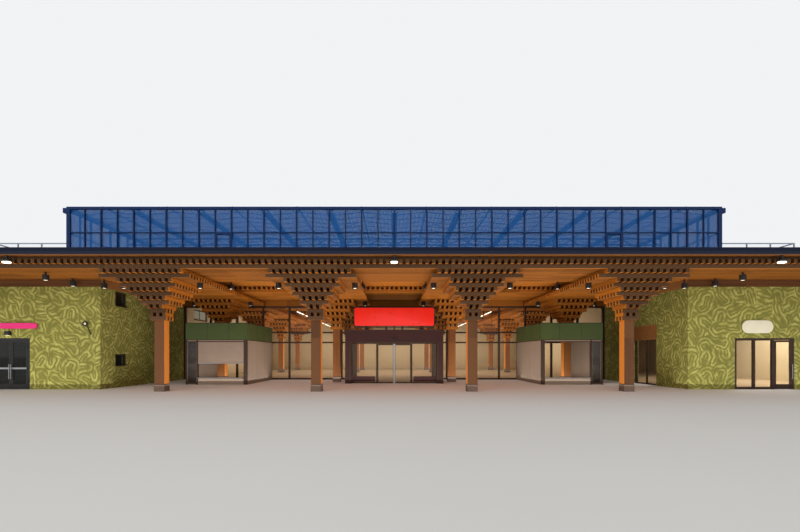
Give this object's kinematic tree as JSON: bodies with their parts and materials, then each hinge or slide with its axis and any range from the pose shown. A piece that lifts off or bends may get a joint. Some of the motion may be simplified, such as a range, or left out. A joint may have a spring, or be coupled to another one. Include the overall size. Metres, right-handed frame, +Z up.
{
  "type": "supermarket building, 1:2 scale model",
  "caption": "Single storey market hall with a deep timber canopy on stacked-beam column capitals, green wings, glazed shopfront, sliding entrance doors and a roof greenhouse",
  "frame": {"origin": "on the ground at the middle of the roof's plan", "axes": "+X along the front, +Y from the front to the rear, +Z up"},
  "size_m": [25.11, 17.145, 5.4],
  "materials": {
    "shaded_timber": "sawn glued laminated timber, clear oiled",
    "lit_timber": "planed glued laminated timber, clear oiled",
    "concrete": "cast concrete",
    "edge_metal": "folded sheet, satin paint",
    "green_render": "render with a stencilled leaf pattern",
    "clear_glass": "clear float glass",
    "dark_metal": "powder coated, dark bronze",
    "sign_red": "lit acrylic face",
    "kiosk_panel": "lacquered board",
    "kiosk_green": "satin paint",
    "greenhouse_steel": "galvanised and painted",
    "rail_steel": "galvanised",
    "lamp_black": "matt black"
  },
  "bodies": {
    "building": {"ground_floor": "concrete", "column_plinths": "concrete", "front_columns": "shaded_timber", "inner_columns": "lit_timber", "front_capital_1": "shaded_timber", "front_capital_2": "shaded_timber", "front_capital_3": "shaded_timber", "front_capital_4": "shaded_timber", "second_capital_1": "lit_timber", "second_capital_2": "lit_timber", "second_capital_3": "lit_timber", "second_capital_4": "lit_timber", "hall_capitals": "lit_timber", "line_ties": "lit_timber", "line_beams": "lit_timber", "row_beams": "lit_timber", "row_ties": "shaded_timber", "ceiling_boards": "lit_timber", "roof_deck": "concrete", "roof_fascia": "edge_metal", "left_front_wall_inner": "green_render", "left_front_wall_outer": "green_render", "left_door_lintel": "green_render", "right_front_wall_inner": "green_render", "right_front_wall_outer": "green_render", "right_door_lintel": "green_render", "left_return_wall": "green_render", "right_return_wall": "green_render", "left_side_wall": "green_render", "right_side_wall": "green_render", "rear_wall": "green_render", "wall_head_beams": "shaded_timber", "window_glass": "clear_glass", "shopfront_header": "shaded_timber", "shopfront_frame": "dark_metal", "shopfront_glass": "clear_glass", "entrance_portal": "dark_metal", "entrance_screen": "dark_metal", "entrance_glass": "clear_glass", "portal_sign": "sign_red", "left_kiosk_walls": "kiosk_panel", "left_kiosk_fascia": "kiosk_green", "right_kiosk_walls": "kiosk_panel", "right_kiosk_fascia": "kiosk_green", "left_door_frame": "dark_metal", "right_door_frame": "dark_metal", "upper_deck": "concrete", "greenhouse_front_frame": "greenhouse_steel", "greenhouse_rear_frame": "greenhouse_steel", "greenhouse_side_frames": "greenhouse_steel", "greenhouse_girders": "greenhouse_steel", "greenhouse_roof": "clear_glass", "greenhouse_wall_glass": "clear_glass", "guard_rails": "rail_steel", "canopy_lamps": "lamp_black"},
    "sliding_leaf_left": {"sliding_door_left": "dark_metal"},
    "sliding_leaf_right": {"sliding_door_right": "dark_metal"},
    "left_wing_leaf_1": {"left_door_leaf_1": "dark_metal"},
    "left_wing_leaf_2": {"left_door_leaf_2": "dark_metal"},
    "right_wing_leaf": {"right_door_leaf": "dark_metal"}
  },
  "joints": [
    {"name": "slide_left", "type": "slide", "parent": "building", "child": "sliding_leaf_left", "axis": [-1, 0, 0], "range_m": [0, 0.47]},
    {"name": "slide_right", "type": "slide", "parent": "building", "child": "sliding_leaf_right", "axis": [1, 0, 0], "range_m": [0, 0.47]},
    {"name": "left_leaf_1_hinge", "type": "hinge", "parent": "building", "child": "left_wing_leaf_1", "pos_m": [-9.554, -6.9603, 0.6], "axis": [0, 0, -1], "range_deg": [0, 90]},
    {"name": "left_leaf_2_hinge", "type": "hinge", "parent": "building", "child": "left_wing_leaf_2", "pos_m": [-8.756, -6.9603, 0.6], "axis": [0, 0, 1], "range_deg": [0, 90]},
    {"name": "right_leaf_hinge", "type": "hinge", "parent": "building", "child": "right_wing_leaf", "pos_m": [9.084, -6.9603, 0.6], "axis": [0, 0, -1], "range_deg": [0, 90]}
  ]
}
